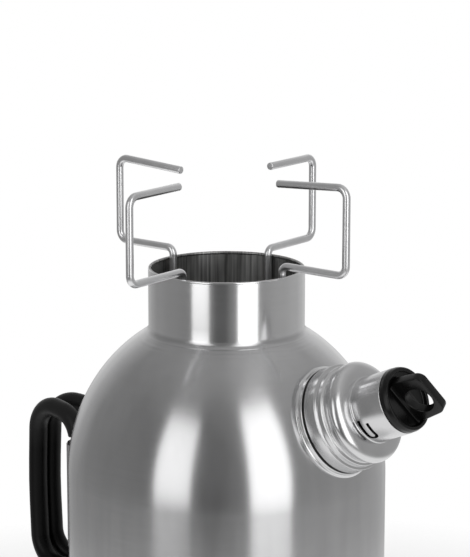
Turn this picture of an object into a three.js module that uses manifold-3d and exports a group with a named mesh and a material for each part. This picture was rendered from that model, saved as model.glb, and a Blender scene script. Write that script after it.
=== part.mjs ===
// Fire kettle: a domed water jacket round a chimney, standing on a fire bowl. Two bent-wire pot
// supports hang in the chimney, a stepped pouring head locks on the spout collar and is closed by a
// pull stopper, and two sleeved rod loops fold against the wall as a handle.
// Millimetres, +Z up. The origin is on the ground under the bowl's centre, the spout points to +X
// and the handle to -X.
import * as THREE from 'three';
import { mergeVertices } from 'three/addons/utils/BufferGeometryUtils.js';
import Module from 'manifold-3d';

const wasm = await Module();
wasm.setup();

// Clearances and cutting allowances
const seatGap = 0.3;
const slideGap = 0.4;
const cutOverrun = 6;
const mergeTolerance = 0.0001;

// Facet counts
const turnFacets = 40;
const smallTurnFacets = 30;
const domeSteps = 7;
const cornerSteps = 3;
const bowlBeadSteps = 6;
const rimSteps = 8;
const wireSides = 8;
const gripSides = 10;
const bendSteps = 4;
const bulgeSteps = 6;
const bulgeInnerSteps = 3;
const boreFacets = 24;
const holeFacets = 16;
const bushFacets = 16;
const shapeSegments = 6;

// Fire bowl
const bowlHeight = 70;
const bowlFootInset = 28;
const bowlCornerRadius = 12;
const bowlWall = 1;
const bowlBeadRadius = 1.9;
const airHoleRadius = 16;
const airHoleHeight = 35;
const airHoleCount = 4;

// Water jacket
const bodyRadius = 90;
const wallHeight = 127.5;
const domeRiseShare = 1.0467;
const shellWall = 1;
const baseRingThickness = 1.2;
const baseRingLip = 0.6;
const skirtDepth = 5;
const skirtWall = 1.2;

// Fire tube and chimney neck
const footWaterGap = 18;
const tubeWall = 0.9;
const neckRadius = 43.8;
const neckWall = 0.9;
const neckHeight = 34.7;
const neckTail = 8;
const rimBeadRadius = 1;
const rimProud = 0.1;

// Spout axis and collar
const spoutTilt = 23.9;
const spoutAxisRise = 7.5;
const collarSink = 0.19;
const collarFootRadius = 31.2;
const collarFootHeight = 4;
const collarStepShare = 0.25;
const collarStepRiseShare = 0.35;
const collarTopRadius = 29.5;
const collarBoreRadius = 25;
const collarRootDepth = 20;

// Bayonet lock between collar and pouring head
const lockTabThickness = 1.2;
const lockTabReach = 1.8;
const lockTabSpan = 50;
const lockLugSpan = 40;
const lockLugThickness = 1.3;
const lockCount = 2;
const lockAngle = 90;
const spigotWall = 1;
const spigotLength = 5.8;

// Gasket
const gasketThickness = 0.8;
const gasketInset = 0.2;

// Pouring head
const headWall = 1;
const headBandRadius = 29.4;
const headBandHeight = 6.6;
const headStepRadius = 27.8;
const headStepHeight = 4.2;
const headGrooveRadius = 26.2;
const headGrooveHeight = 3.6;
const headBulgeRadius = 28;
const headBulgeHalfLength = 5.65;
const headEdgeRound = 0.5;
const spoutTubeRadius = 18;
const spoutTubeHeight = 20.2;
const spoutRootFillet = 0.8;

// Spring tongues cut in the spout tube
const tongueCount = 2;
const tongueAngle = -45.5;
const tongueOffset = 4.45;
const tongueWidth = 3.4;
const tongueSlit = 1.3;
const tongueLongLeg = 10.8;
const tongueShortLeg = 8.2;
const tongueLegSteps = 4;

// Stopper
const stopperRimInset = 0.2;
const stopperRimHeight = 4.8;
const stopperRimTaper = 0.7;
const stopperRimWall = 2.6;
const stopperRecess = 2.2;
const stopperShankLength = 16;
const stopperLead = 3;
const stopperRibDepth = 0.7;
const stopperRibCount = 2;
const ribShare = 0.55;
const valleyShare = 0.7;
const tabWidth = 28;
const tabOffset = 0.8;
const tabHeight = 19;
const tabThickness = 5.5;
const tabCornerRadius = 5;
const tabTaper = 1.7;
const tabHoleRadius = 7.6;
const tabHoleHeight = 9.6;
const tabHoleOffset = 0.9;
const tabTurn = 32.5;

// Handle bracket and its barrels
const bracketTopDepth = 1.3;
const bracketHeight = 63;
const bracketThickness = 1.5;
const bracketFootSpan = 28;
const rearAngle = 180;
const barrelStandoff = 15;
const barrelOffset = 11.6;
const barrelRadius = 6.9;
const barrelWall = 1.2;

// Handle bushes, rods and grips
const bushLength = 14;
const bushFlangeThickness = 0.9;
const bushFlangeRadius = 6.4;
const rodRadius = 3;
const rodEndGap = 5;
const gripRadius = 5.6;
const gripReach = 39.6;
const gripOffset = 5.8;
const gripBow = 2.2;
const gripBowRadius = 300;
const loopShoulderHalfHeight = 47;
const loopTopHalfHeight = 51;
const loopShoulderBend = 16;
const loopTopBend = 17;
const gripTrimSteps = 2;

// Wire pot supports: the lower one carries the upper one where they cross in the chimney
const wireRadius = 2;
const supportRimGap = 0.35;
const supportLegDepth = 36;
const supportRimBend = 4;
const supportBend = 5.5;
const lowerSupport = {
  reach: 85, extraReach: -0.95, endRadius: 42.1, armRise: 4.5, height: 47.3, endDepth: 0, turn: 93.5,
};
const upperSupport = {
  reach: 81.7, extraReach: 1.6, endRadius: 34.9, armRise: 6.3, height: 48, endDepth: 2.8, turn: 0,
};

// Where the spout's axis leaves the dome, as a distance from the kettle's middle
const domeRise = bodyRadius * domeRiseShare;
const spoutOut = Math.cos(THREE.MathUtils.degToRad(spoutTilt)) / bodyRadius;
const spoutUp = Math.sin(THREE.MathUtils.degToRad(spoutTilt)) / domeRise;
const spoutLow = spoutUp * spoutAxisRise / domeRise;
const spoutReach = spoutOut ** 2 + spoutUp ** 2;
const spoutSpan = Math.sqrt(spoutLow ** 2 + spoutReach * (1 - (spoutAxisRise / domeRise) ** 2));
const domeDistance = (spoutSpan - spoutLow) / spoutReach;

// Radii and distances that follow from the sizes above
const bowlFootRadius = bodyRadius - bowlFootInset;
const bowlTopRadius = bodyRadius - skirtWall - slideGap - 2 * bowlBeadRadius;
const tubeFootRadius = bodyRadius - footWaterGap;
const baseRingInnerRadius = tubeFootRadius - tubeWall - baseRingLip;
const rimInnerRadius = neckRadius + rimProud - 2 * rimBeadRadius;
const supportLegRadius = rimInnerRadius - wireRadius - supportRimGap;
const gasketRadius = headBandRadius - gasketInset;
const spigotRadius = collarBoreRadius - lockTabReach - seatGap;
const stopperRimRadius = spoutTubeRadius - stopperRimInset;
const barrelDistance = bodyRadius + barrelStandoff;
const gripDistance = barrelDistance + gripReach;

// Heights that follow from the sizes above
const kettleFoot = bowlHeight + seatGap;
const jacketBottom = kettleFoot + baseRingThickness + seatGap;
const domeBase = kettleFoot + wallHeight;
const neckJoint = domeBase + domeRise * Math.sqrt(1 - (neckRadius / bodyRadius) ** 2);
const rimHeight = neckJoint + neckHeight;
const spoutAxisHeight = domeBase + spoutAxisRise;
const bracketTop = domeBase - bracketTopDepth;
const bracketBottom = bracketTop - bracketHeight;
const handleMiddle = bracketTop - bracketHeight / 2;

// Distances along the spout axis
const collarTop = domeDistance - collarSink;
const lockTabBottom = collarTop - lockTabThickness;
const gasketBottom = collarTop + seatGap;
const headBottom = gasketBottom + gasketThickness + seatGap;
const headBandTop = headBottom + headBandHeight;
const headStepTop = headBandTop + headStepHeight;
const headGrooveTop = headStepTop + headGrooveHeight;
const bulgeRoot = spoutTubeRadius + spoutRootFillet;
const bulgeStart = Math.asin((headGrooveRadius - bulgeRoot) / (headBulgeRadius - bulgeRoot));
const bulgeCentre = headGrooveTop + headBulgeHalfLength * Math.cos(bulgeStart);
const headTubeRoot = bulgeCentre + headBulgeHalfLength;
const spoutMouth = headTubeRoot + spoutTubeHeight;

// Materials
function steel(color, roughness) {
  return new THREE.MeshStandardMaterial({ color, roughness, metalness: 1 });
}

function rubber(color, roughness) {
  return new THREE.MeshStandardMaterial({ color, roughness, metalness: 0 });
}

const polishedSteel = steel(0xc9cacc, 0.16);
const brushedSteel = steel(0xa9aaac, 0.36);
const sootedSteel = steel(0x6d6a66, 0.5);
const wireSteel = steel(0xbfc0c2, 0.24);
const siliconeBlack = rubber(0x141414, 0.6);
const sleeveBlack = rubber(0x101010, 0.5);
const bushBlack = rubber(0x1b1b1b, 0.55);

// Solids: joined and cut as closed bodies
function solidOf(geometry) {
  const bare = geometry.clone();
  bare.deleteAttribute('normal');
  bare.deleteAttribute('uv');
  const merged = mergeVertices(bare, mergeTolerance);
  const kept = [];
  const index = merged.index.array;
  for (let i = 0; i < index.length; i += 3) {
    const [a, b, c] = [index[i], index[i + 1], index[i + 2]];
    if (a !== b && b !== c && c !== a) kept.push(a, b, c);
  }
  const vertProperties = new Float32Array(merged.attributes.position.array);
  return new wasm.Manifold(new wasm.Mesh({ numProp: 3, vertProperties, triVerts: new Uint32Array(kept) }));
}

function geometryOf(solid) {
  const mesh = solid.getMesh();
  const geometry = new THREE.BufferGeometry();
  geometry.setAttribute('position', new THREE.BufferAttribute(new Float32Array(mesh.vertProperties), 3));
  geometry.setIndex(new THREE.BufferAttribute(new Uint32Array(mesh.triVerts), 1));
  geometry.computeVertexNormals();
  return geometry;
}

function piece(name, solid, material) {
  const mesh = new THREE.Mesh(geometryOf(solid), material);
  mesh.name = name;
  return mesh;
}

// Revolves an outline of [radius, height] pairs about the Z axis
function revolve(outline, facets) {
  const points = [...outline, outline[0]].map(([radius, height]) => new THREE.Vector2(radius, height));
  const geometry = new THREE.LatheGeometry(points, facets);
  geometry.rotateX(Math.PI / 2);
  return solidOf(geometry);
}

function cylinder(radius, from, to, facets) {
  return revolve([[0, from], [radius, from], [radius, to], [0, to]], facets);
}

// Points of an arc as [radius, height] pairs, from one angle to another in degrees
function arcOutline(centreRadius, centreHeight, radius, fromAngle, toAngle, steps) {
  const outline = [];
  for (let i = 0; i <= steps; i += 1) {
    const angle = THREE.MathUtils.degToRad(fromAngle + (toAngle - fromAngle) * i / steps);
    outline.push([centreRadius + radius * Math.cos(angle), centreHeight + radius * Math.sin(angle)]);
  }
  return outline;
}

// A quarter of an ellipse as [radius, height] pairs, from the widest ring up to a smaller radius
function domeOutline(baseRadius, rise, baseHeight, topRadius, steps) {
  const outline = [];
  const lastAngle = Math.acos(topRadius / baseRadius);
  for (let i = 0; i <= steps; i += 1) {
    const angle = lastAngle * i / steps;
    outline.push([baseRadius * Math.cos(angle), baseHeight + rise * Math.sin(angle)]);
  }
  return outline;
}

// A sector of a flat ring, extruded along Z and centred on an angle in degrees
function ringSector(innerRadius, outerRadius, middleAngle, span, from, to) {
  const first = THREE.MathUtils.degToRad(middleAngle - span / 2);
  const last = THREE.MathUtils.degToRad(middleAngle + span / 2);
  const shape = new THREE.Shape();
  shape.absarc(0, 0, outerRadius, first, last, false);
  shape.absarc(0, 0, innerRadius, last, first, true);
  const options = { depth: to - from, bevelEnabled: false, curveSegments: shapeSegments };
  const geometry = new THREE.ExtrudeGeometry(shape, options);
  geometry.translate(0, 0, from);
  return solidOf(geometry);
}

// A path through chosen points, whose steps fall on those points
class WirePath extends THREE.Curve {
  constructor(points) {
    super();
    this.points = points;
  }

  getPoint(t, target = new THREE.Vector3()) {
    const place = THREE.MathUtils.clamp(t, 0, 1) * (this.points.length - 1);
    const index = Math.min(Math.floor(place), this.points.length - 2);
    return target.lerpVectors(this.points[index], this.points[index + 1], place - index);
  }

  getPointAt(u, target) {
    return this.getPoint(u, target);
  }

  getTangentAt(u, target = new THREE.Vector3()) {
    const index = Math.round(THREE.MathUtils.clamp(u, 0, 1) * (this.points.length - 1));
    const here = this.points[index];
    const before = this.points[Math.max(index - 1, 0)];
    const after = this.points[Math.min(index + 1, this.points.length - 1)];
    const arriving = here.clone().sub(before).normalize();
    const leaving = after.clone().sub(here).normalize();
    return target.copy(arriving).add(leaving).normalize();
  }
}

// Rounds the corners of a wire's route: each corner is { at, bend } with a bend radius or none
function bentRoute(corners) {
  const route = [];
  corners.forEach(({ at, bend }, i) => {
    if (!bend) {
      route.push(at);
      return;
    }
    const arriving = at.clone().sub(corners[i - 1].at).normalize();
    const leaving = corners[i + 1].at.clone().sub(at).normalize();
    const turn = arriving.angleTo(leaving);
    const start = at.clone().addScaledVector(arriving, -bend * Math.tan(turn / 2));
    const inward = leaving.clone().addScaledVector(arriving, -arriving.dot(leaving)).normalize();
    const centre = start.clone().addScaledVector(inward, bend);
    for (let k = 0; k <= bendSteps; k += 1) {
      const angle = turn * k / bendSteps;
      const point = centre.clone().addScaledVector(inward, -bend * Math.cos(angle));
      route.push(point.addScaledVector(arriving, bend * Math.sin(angle)));
    }
  });
  return route;
}

// A round wire, or a sleeve with a bore, swept along a route
function sweep(route, radius, boreRadius, sides) {
  const section = new THREE.Shape();
  section.absarc(0, 0, radius, 0, 2 * Math.PI, false);
  if (boreRadius) {
    const bore = new THREE.Path();
    bore.absarc(0, 0, boreRadius, 0, 2 * Math.PI, true);
    section.holes.push(bore);
  }
  const path = new WirePath(route);
  const options = { steps: route.length - 1, extrudePath: path, curveSegments: sides / 2 };
  return solidOf(new THREE.ExtrudeGeometry(section, options));
}

// Fire bowl: flat foot, rounded corner, flared wall with air holes and a rolled rim
function bowlProfile() {
  const flare = Math.atan2(bowlTopRadius - bowlFootRadius, bowlHeight - bowlCornerRadius);
  const wallAngle = -THREE.MathUtils.radToDeg(flare);
  const innerRadius = bowlCornerRadius - bowlWall;
  const beadCentre = bowlTopRadius + bowlBeadRadius;
  const beadHeight = bowlHeight - bowlBeadRadius;
  return [
    [0, 0],
    ...arcOutline(bowlFootRadius, bowlCornerRadius, bowlCornerRadius, -90, wallAngle, cornerSteps),
    ...arcOutline(beadCentre, beadHeight, bowlBeadRadius, -90, 180, bowlBeadSteps),
    ...arcOutline(bowlFootRadius, bowlCornerRadius, innerRadius, wallAngle, -90, cornerSteps),
    [0, bowlWall],
  ];
}

function fireBowl() {
  const reach = bowlTopRadius + cutOverrun;
  let solid = revolve(bowlProfile(), turnFacets);
  for (let i = 0; i < airHoleCount; i += 1) {
    const hole = new THREE.CylinderGeometry(airHoleRadius, airHoleRadius, reach, holeFacets);
    hole.rotateZ(-Math.PI / 2);
    hole.translate(reach / 2, 0, airHoleHeight);
    hole.rotateZ(2 * Math.PI * i / airHoleCount);
    solid = solid.subtract(solidOf(hole));
  }
  return piece('fire_bowl', solid, brushedSteel);
}

// Base ring: closes the jacket below and locates the kettle round the bowl's rim
function baseRing() {
  const top = kettleFoot + baseRingThickness;
  const skirtInner = bodyRadius - skirtWall;
  const skirtBottom = kettleFoot - skirtDepth;
  const skirtEdge = arcOutline(bodyRadius - skirtWall / 2, skirtBottom, skirtWall / 2, 180, 360, cornerSteps);
  const outline = [
    [baseRingInnerRadius, kettleFoot],
    [skirtInner, kettleFoot],
    ...skirtEdge,
    [bodyRadius, top],
    [baseRingInnerRadius, top],
  ];
  return piece('base_ring', revolve(outline, turnFacets), brushedSteel);
}

// Outer shell of the water jacket, open at the bottom, at the neck and at the spout
function domeSolid(growth) {
  const radius = bodyRadius + growth;
  const dome = domeOutline(radius, domeRise + growth, domeBase, neckRadius + seatGap, domeSteps);
  const [, top] = dome.at(-1);
  return revolve([[0, jacketBottom], [radius, jacketBottom], ...dome, [0, top]], turnFacets);
}

function bodyShell() {
  const edge = neckRadius + seatGap;
  const innerRadius = bodyRadius - shellWall;
  const outer = domeOutline(bodyRadius, domeRise, domeBase, edge, domeSteps);
  const inner = domeOutline(innerRadius, domeRise - shellWall, domeBase, edge, domeSteps);
  const outline = [[bodyRadius, jacketBottom], ...outer, ...inner.reverse(), [innerRadius, jacketBottom]];
  const bore = new THREE.CylinderGeometry(collarBoreRadius, collarBoreRadius, collarTop, smallTurnFacets);
  bore.rotateX(Math.PI / 2);
  bore.translate(0, 0, collarTop);
  bore.applyMatrix4(spoutMatrix());
  return piece('body_shell', revolve(outline, turnFacets).subtract(solidOf(bore)), brushedSteel);
}

// Fire tube: the cone inside the water, from the base ring up to the neck
function fireTube() {
  const top = neckJoint - neckTail - seatGap;
  const outline = [
    [tubeFootRadius, jacketBottom],
    [neckRadius, top],
    [neckRadius - tubeWall, top],
    [tubeFootRadius - tubeWall, jacketBottom],
  ];
  return piece('fire_tube', revolve(outline, turnFacets), sootedSteel);
}

// Chimney neck with its rolled rim
function chimneyNeck() {
  const bottom = neckJoint - neckTail;
  const innerRadius = neckRadius - neckWall;
  const beadCentre = neckRadius + rimProud - rimBeadRadius;
  const firstAngle = -THREE.MathUtils.radToDeg(Math.acos((neckRadius - beadCentre) / rimBeadRadius));
  const lastAngle = 360 - THREE.MathUtils.radToDeg(Math.acos((innerRadius - beadCentre) / rimBeadRadius));
  const bead = arcOutline(beadCentre, rimHeight, rimBeadRadius, firstAngle, lastAngle, rimSteps);
  const outline = [[neckRadius, bottom], ...bead, [innerRadius, bottom]];
  return piece('chimney_neck', revolve(outline, turnFacets), polishedSteel);
}

// The spout's own frame: Z runs out along the spout axis, X points down
function spoutMatrix() {
  const matrix = new THREE.Matrix4().makeRotationY(THREE.MathUtils.degToRad(90 - spoutTilt));
  return matrix.setPosition(0, 0, spoutAxisHeight);
}

// Collar: saddled on the dome, with two inward tabs that hold the head's lugs
function spoutCollar() {
  const shoulder = collarTop - collarFootHeight;
  const flare = collarFootRadius - collarTopRadius;
  const outline = [
    [collarBoreRadius, collarTop - collarRootDepth],
    [collarFootRadius, collarTop - collarRootDepth],
    [collarFootRadius, shoulder],
    [collarTopRadius + flare * collarStepShare, shoulder + collarFootHeight * collarStepRiseShare],
    [collarTopRadius, shoulder + collarFootHeight / 2],
    [collarTopRadius, collarTop],
    [collarBoreRadius, collarTop],
  ];
  const dome = geometryOf(domeSolid(seatGap)).applyMatrix4(spoutMatrix().invert());
  let solid = revolve(outline, smallTurnFacets).subtract(solidOf(dome));
  for (let i = 0; i < lockCount; i += 1) {
    const angle = lockAngle + 360 * i / lockCount;
    const inner = collarBoreRadius - lockTabReach;
    const outer = collarBoreRadius + lockTabReach;
    solid = solid.add(ringSector(inner, outer, angle, lockTabSpan, lockTabBottom, collarTop));
  }
  return piece('spout_collar', solid, polishedSteel);
}

function spoutGasket() {
  const inner = spigotRadius + slideGap;
  const top = gasketBottom + gasketThickness;
  const outline = [[inner, gasketBottom], [gasketRadius, gasketBottom], [gasketRadius, top], [inner, top]];
  return piece('spout_gasket', revolve(outline, smallTurnFacets), siliconeBlack);
}

// The head's bulge in section, for one face of its wall
function bulgeOutline(rootRadius, peakRadius, halfLength, steps) {
  const outline = [];
  for (let i = 0; i <= steps; i += 1) {
    const angle = bulgeStart + (Math.PI - bulgeStart) * i / steps;
    const radius = rootRadius + (peakRadius - rootRadius) * Math.sin(angle);
    outline.push([radius, bulgeCentre - halfLength * Math.cos(angle)]);
  }
  return outline;
}

// Pouring head: spun steps, a groove and a rounded bulge below the tube, and the lock's spigot
function headSolid() {
  const spigotInner = spigotRadius - spigotWall;
  const tubeInner = spoutTubeRadius - headWall;
  const bulgeInner = headBulgeRadius - headWall;
  const innerHalfLength = headBulgeHalfLength - headWall;
  const outer = bulgeOutline(bulgeRoot, headBulgeRadius, headBulgeHalfLength, bulgeSteps);
  const inner = bulgeOutline(bulgeRoot - headWall, bulgeInner, innerHalfLength, bulgeInnerSteps);
  const outline = [
    [spigotInner, headBottom - spigotLength],
    [spigotRadius, headBottom - spigotLength],
    [spigotRadius, headBottom],
    [headBandRadius - headEdgeRound, headBottom],
    [headBandRadius, headBottom + headEdgeRound],
    [headBandRadius, headBandTop - headEdgeRound],
    [headBandRadius - headEdgeRound, headBandTop],
    [headStepRadius, headBandTop + headEdgeRound],
    [headStepRadius, headStepTop - headEdgeRound],
    [headGrooveRadius, headStepTop + headEdgeRound],
    ...outer,
    [spoutTubeRadius, headTubeRoot + spoutRootFillet],
    [spoutTubeRadius, spoutMouth],
    [tubeInner, spoutMouth],
    [tubeInner, headTubeRoot],
    ...inner.reverse(),
    [headGrooveRadius - headWall, headStepTop],
    [headStepRadius - headWall, headStepTop - headWall],
    [headStepRadius - headWall, headBandTop],
    [headBandRadius - headWall, headBandTop - headWall],
    [headBandRadius - headWall, headBottom + headWall],
    [spigotInner, headBottom + headWall],
  ];
  return revolve(outline, smallTurnFacets);
}

// One horseshoe slit, drawn flat, with its long leg nearer the bulge, then wrapped round the tube
function tongueSlitCutter() {
  const outerHalf = tongueWidth / 2 + tongueSlit;
  const innerHalf = tongueWidth / 2;
  const leg = (length, y) => {
    const points = [];
    for (let i = 0; i <= tongueLegSteps; i += 1) {
      points.push(new THREE.Vector2(-length * i / tongueLegSteps, y));
    }
    return points;
  };
  const end = (radius, from, to) => arcOutline(0, 0, radius, from, to, cornerSteps)
    .slice(1, -1)
    .map(([x, y]) => new THREE.Vector2(x, y));
  const outline = [
    ...leg(tongueLongLeg, -outerHalf).reverse(),
    ...end(outerHalf, -90, 90),
    ...leg(tongueShortLeg, outerHalf),
    ...leg(tongueShortLeg, innerHalf).reverse(),
    ...end(innerHalf, 90, -90),
    ...leg(tongueLongLeg, -innerHalf),
  ];
  const depth = cutOverrun;
  const geometry = new THREE.ExtrudeGeometry(new THREE.Shape(outline), { depth, bevelEnabled: false });
  const position = geometry.attributes.position;
  for (let i = 0; i < position.count; i += 1) {
    const angle = position.getX(i) / spoutTubeRadius;
    const radius = spoutTubeRadius - depth / 2 + position.getZ(i);
    const height = headTubeRoot + tongueOffset + position.getY(i);
    position.setXYZ(i, radius * Math.cos(angle), radius * Math.sin(angle), height);
  }
  return geometry;
}

function spoutHead() {
  let solid = headSolid();
  for (let i = 0; i < lockCount; i += 1) {
    const angle = lockAngle + 360 * i / lockCount;
    const lugTop = lockTabBottom - seatGap;
    const lugOuter = collarBoreRadius - seatGap;
    const lugInner = spigotRadius - spigotWall / 2;
    solid = solid.add(ringSector(lugInner, lugOuter, angle, lockLugSpan, lugTop - lockLugThickness, lugTop));
  }
  for (let i = 0; i < tongueCount; i += 1) {
    const slit = tongueSlitCutter();
    slit.rotateZ(THREE.MathUtils.degToRad(tongueAngle + 360 * i / tongueCount));
    solid = solid.subtract(solidOf(slit));
  }
  return piece('spout_head', solid, polishedSteel);
}

// Stopper: ribbed shank, rimmed cap with a recess, and a pull tab with a finger hole
function stopperTab(floor) {
  const half = tabWidth / 2;
  const topHalf = half - tabTaper;
  const cornerHeight = tabHeight - tabCornerRadius;
  const shape = new THREE.Shape();
  shape.moveTo(-half, -stopperRecess / 2);
  shape.lineTo(half, -stopperRecess / 2);
  shape.lineTo(topHalf, cornerHeight);
  shape.absarc(topHalf - tabCornerRadius, cornerHeight, tabCornerRadius, 0, Math.PI / 2, false);
  shape.absarc(tabCornerRadius - topHalf, cornerHeight, tabCornerRadius, Math.PI / 2, Math.PI, false);
  shape.closePath();
  const hole = new THREE.Path();
  hole.absarc(tabHoleOffset, tabHoleHeight, tabHoleRadius, 0, 2 * Math.PI, true);
  shape.holes.push(hole);
  const options = { depth: tabThickness, bevelEnabled: false, curveSegments: shapeSegments };
  const geometry = new THREE.ExtrudeGeometry(shape, options);
  geometry.translate(tabOffset, 0, -tabThickness / 2);
  const turn = THREE.MathUtils.degToRad(tabTurn);
  const across = new THREE.Vector3(Math.cos(turn), Math.sin(turn), 0);
  const outward = new THREE.Vector3(0, 0, 1);
  const basis = new THREE.Matrix4().makeBasis(across, outward, across.clone().cross(outward));
  geometry.applyMatrix4(basis.setPosition(0, 0, floor));
  return solidOf(geometry);
}

function spoutStopper() {
  const bottom = spoutMouth + seatGap;
  const top = bottom + stopperRimHeight;
  const floor = top - stopperRecess;
  const shankRadius = spoutTubeRadius - headWall - slideGap;
  const tip = bottom - stopperShankLength;
  const topRadius = stopperRimRadius - stopperRimTaper;
  const recessRadius = stopperRimRadius - stopperRimWall;
  const ribStep = (stopperShankLength - stopperLead) / stopperRibCount;
  const ribs = [];
  for (let i = 0; i < stopperRibCount; i += 1) {
    const start = tip + stopperLead + ribStep * i;
    ribs.push([shankRadius, start], [shankRadius, start + ribStep * ribShare]);
    ribs.push([shankRadius - stopperRibDepth, start + ribStep * valleyShare]);
  }
  const outline = [
    [0, tip],
    [shankRadius - stopperLead, tip],
    ...ribs,
    [shankRadius - stopperRibDepth, bottom],
    [stopperRimRadius, bottom],
    [stopperRimRadius, bottom + stopperRimHeight / 2],
    [topRadius, top - stopperRimTaper / 2],
    [topRadius - stopperRimTaper / 2, top],
    [recessRadius, top],
    [recessRadius - stopperRimTaper / 2, floor],
    [0, floor],
  ];
  return piece('spout_stopper', revolve(outline, smallTurnFacets).add(stopperTab(floor)), siliconeBlack);
}

// One leg of the bracket, from a barrel's outer side to the foot
function bracketLeg(side) {
  const length = barrelStandoff + 2 * bracketThickness;
  const geometry = new THREE.BoxGeometry(length, barrelWall, bracketHeight);
  const across = side * (barrelOffset + barrelRadius - barrelWall / 2);
  geometry.translate(length / 2 - barrelDistance, across, handleMiddle);
  return solidOf(geometry);
}

// Bracket: a foot curved to the shell, two legs and two rolled barrels
function handleBracket() {
  const footInner = bodyRadius + seatGap;
  const footOuter = footInner + bracketThickness;
  const cutFrom = bracketBottom - cutOverrun;
  const cutTo = bracketTop + cutOverrun;
  let solid = ringSector(footInner, footOuter, rearAngle, bracketFootSpan, bracketBottom, bracketTop);
  for (const side of [-1, 1]) {
    const barrel = cylinder(barrelRadius, bracketBottom, bracketTop, boreFacets);
    solid = solid.add(bracketLeg(side)).add(barrel.translate([-barrelDistance, side * barrelOffset, 0]));
  }
  solid = solid.subtract(cylinder(footInner, cutFrom, cutTo, 2 * turnFacets));
  for (const side of [-1, 1]) {
    const bore = cylinder(barrelRadius - barrelWall, cutFrom, cutTo, boreFacets);
    solid = solid.subtract(bore.translate([-barrelDistance, side * barrelOffset, 0]));
  }
  return piece('handle_bracket', solid, brushedSteel);
}

// Flanged bush for one end of a barrel; end is 1 at the top and -1 at the bottom
function handleBush(name, side, end) {
  const face = end > 0 ? bracketTop : bracketBottom;
  const inner = rodRadius + seatGap;
  const outer = barrelRadius - barrelWall - seatGap;
  const seat = face + end * seatGap;
  const outline = [
    [inner, face - end * bushLength],
    [outer, face - end * bushLength],
    [outer, seat],
    [bushFlangeRadius, seat],
    [bushFlangeRadius, seat + end * bushFlangeThickness],
    [inner, seat + end * bushFlangeThickness],
  ];
  const solid = revolve(end > 0 ? outline : outline.reverse(), bushFacets);
  return piece(name, solid.translate([-barrelDistance, side * barrelOffset, 0]), bushBlack);
}

// Route of one handle loop: up out of the barrel, over to the grip, down it and back into the barrel
function loopRoute(side) {
  const barrel = new THREE.Vector3(-barrelDistance, side * barrelOffset, 0);
  const grip = new THREE.Vector3(-gripDistance, side * gripOffset, 0);
  const outward = grip.clone().sub(barrel).normalize();
  const barrelPoint = (height) => barrel.clone().setZ(handleMiddle + height);
  const gripPoint = (height, bow) => grip.clone().addScaledVector(outward, -bow).setZ(handleMiddle + height);
  return bentRoute([
    { at: barrelPoint(rodEndGap / 2) },
    { at: barrelPoint(loopShoulderHalfHeight), bend: loopShoulderBend },
    { at: gripPoint(loopTopHalfHeight, gripBow), bend: loopTopBend },
    { at: gripPoint(0, 0), bend: gripBowRadius },
    { at: gripPoint(-loopTopHalfHeight, gripBow), bend: loopTopBend },
    { at: barrelPoint(-loopShoulderHalfHeight), bend: loopShoulderBend },
    { at: barrelPoint(-rodEndGap / 2) },
  ]);
}

function handleRod(name, side) {
  return piece(name, sweep(loopRoute(side), rodRadius, 0, wireSides), wireSteel);
}

// The sleeve follows the rod from one shoulder bend to the other
function handleGrip(name, side) {
  const route = loopRoute(side).slice(gripTrimSteps, -gripTrimSteps);
  return piece(name, sweep(route, gripRadius, rodRadius + seatGap, gripSides), sleeveBlack);
}

// One bent-wire pot support, from one free end over the rim, down, across the chimney and back;
// its arms reach further on one side and less on the other, by the extra reach
function potSupport(name, { reach, extraReach, endRadius, armRise, height, endDepth, turn }, legBottom) {
  const armHeight = rimHeight + armRise;
  const topHeight = armHeight + height;
  const half = (side) => [
    { at: new THREE.Vector3(side * endRadius + extraReach, 0, topHeight - endDepth) },
    { at: new THREE.Vector3(side * reach + extraReach, 0, topHeight), bend: supportBend },
    { at: new THREE.Vector3(side * reach + extraReach, 0, armHeight), bend: supportBend },
    { at: new THREE.Vector3(side * supportLegRadius, 0, armHeight), bend: supportRimBend },
    { at: new THREE.Vector3(side * supportLegRadius, 0, legBottom), bend: supportBend },
  ];
  const route = bentRoute([...half(1), ...half(-1).reverse()]);
  const mesh = piece(name, sweep(route, wireRadius, 0, wireSides), wireSteel);
  mesh.rotation.z = THREE.MathUtils.degToRad(turn);
  return mesh;
}

// The whole kettle
function buildKettle() {
  const kettle = new THREE.Group();
  kettle.add(fireBowl(), baseRing(), bodyShell(), fireTube(), chimneyNeck());
  const spout = new THREE.Group();
  spout.rotation.y = THREE.MathUtils.degToRad(90 - spoutTilt);
  spout.position.z = spoutAxisHeight;
  spout.add(spoutCollar(), spoutGasket(), spoutHead(), spoutStopper());
  kettle.add(spout, handleBracket());
  for (const [label, side] of [['left', 1], ['right', -1]]) {
    kettle.add(handleBush(`handle_bush_upper_${label}`, side, 1));
    kettle.add(handleBush(`handle_bush_lower_${label}`, side, -1));
    kettle.add(handleRod(`handle_rod_${label}`, side), handleGrip(`handle_grip_${label}`, side));
  }
  const lowerLegBottom = rimHeight - supportLegDepth;
  const upperLegBottom = lowerLegBottom + 2 * wireRadius + slideGap;
  kettle.add(potSupport('pot_support_lower', lowerSupport, lowerLegBottom));
  kettle.add(potSupport('pot_support_upper', upperSupport, upperLegBottom));
  return kettle;
}

export default buildKettle();
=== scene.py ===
import math

import bmesh
import bpy
from mathutils import Matrix, Vector


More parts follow.
